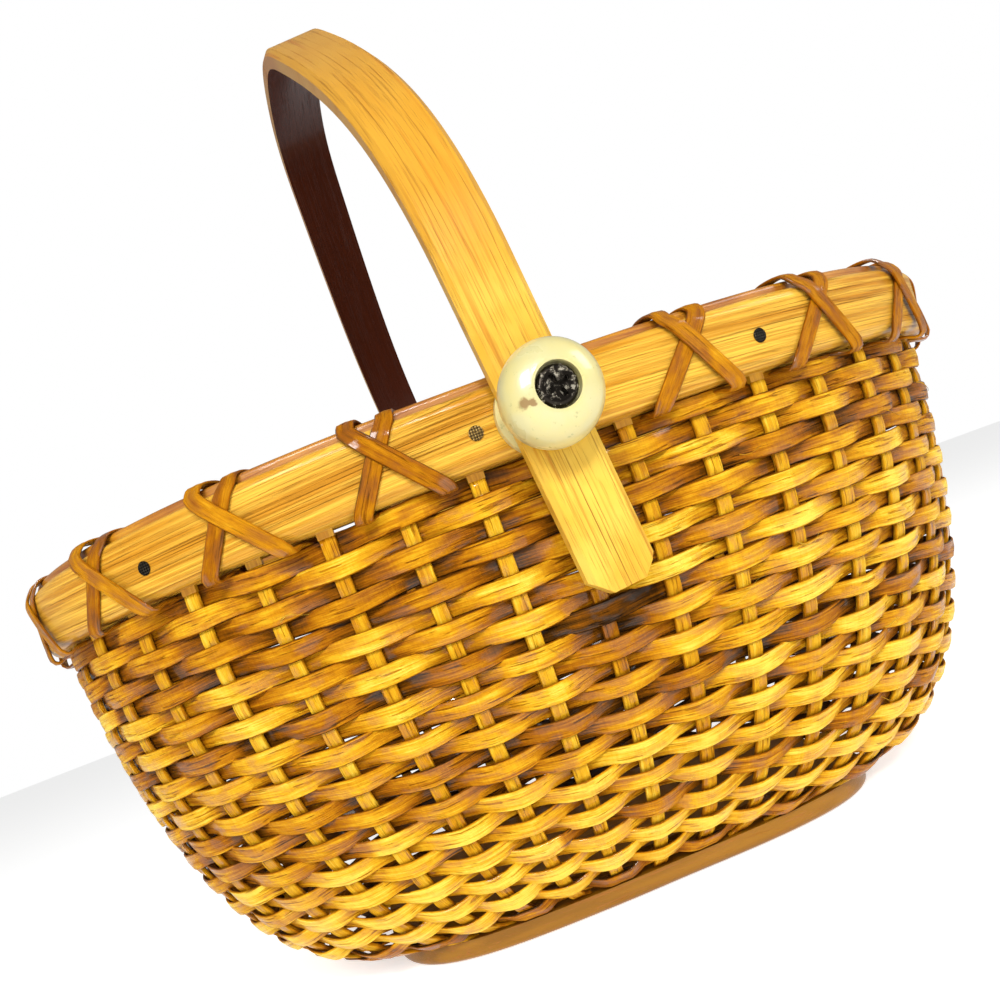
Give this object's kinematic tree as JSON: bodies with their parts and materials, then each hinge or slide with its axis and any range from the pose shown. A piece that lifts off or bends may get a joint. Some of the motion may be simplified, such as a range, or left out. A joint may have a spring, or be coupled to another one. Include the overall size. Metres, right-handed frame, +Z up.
{
  "type": "small woven basket with a swing handle",
  "caption": "Small oval woven cane basket on a wooden base plate, with a split wooden rim, crossed cane lashings and a bent-wood handle that swings on knobbed screws.",
  "frame": {"origin": "middle of the base plate's underside", "axes": "+Z up, X along the basket's long axis, -Y towards the front pivot of the handle"},
  "size_m": [0.1622, 0.1236, 0.1489],
  "materials": {
    "base_plate": "varnished, satin gloss",
    "woven_wall": "varnished cane, glossy",
    "stave_ends": "varnished cane",
    "outer_rim": "varnished, open grain",
    "inner_rim": "varnished, open grain",
    "rim_cap": "varnished cane",
    "lower_lashing": "varnished cane, glossy",
    "upper_lashing": "varnished cane, glossy",
    "dark_rim_pins": "dark, dull",
    "brass_rim_pins": "worn",
    "swing_handle": "varnished, grain along the band",
    "front_knob": "polished, ivory-coloured",
    "back_knob": "polished, ivory-coloured",
    "front_washer": "polished, ivory-coloured",
    "back_washer": "polished, ivory-coloured",
    "front_screw": "dark, worn",
    "back_screw": "dark, worn"
  },
  "bodies": {
    "basket": {"base_plate": "base_plate", "woven_wall": "woven_wall", "stave_ends": "stave_ends", "outer_rim": "outer_rim", "inner_rim": "inner_rim", "rim_cap": "rim_cap", "lower_lashing": "lower_lashing", "upper_lashing": "upper_lashing", "dark_rim_pins": "dark_rim_pins", "brass_rim_pins": "brass_rim_pins", "front_knob": "front_knob", "back_knob": "back_knob", "front_washer": "front_washer", "back_washer": "back_washer", "front_screw": "front_screw", "back_screw": "back_screw"},
    "handle": {"swing_handle": "swing_handle"}
  },
  "joints": [
    {"name": "handle_swing", "type": "hinge", "parent": "basket", "child": "handle", "pos_m": [0, 0, 0.0722], "axis": [0, 1, 0], "range_deg": [-66, 78]}
  ]
}
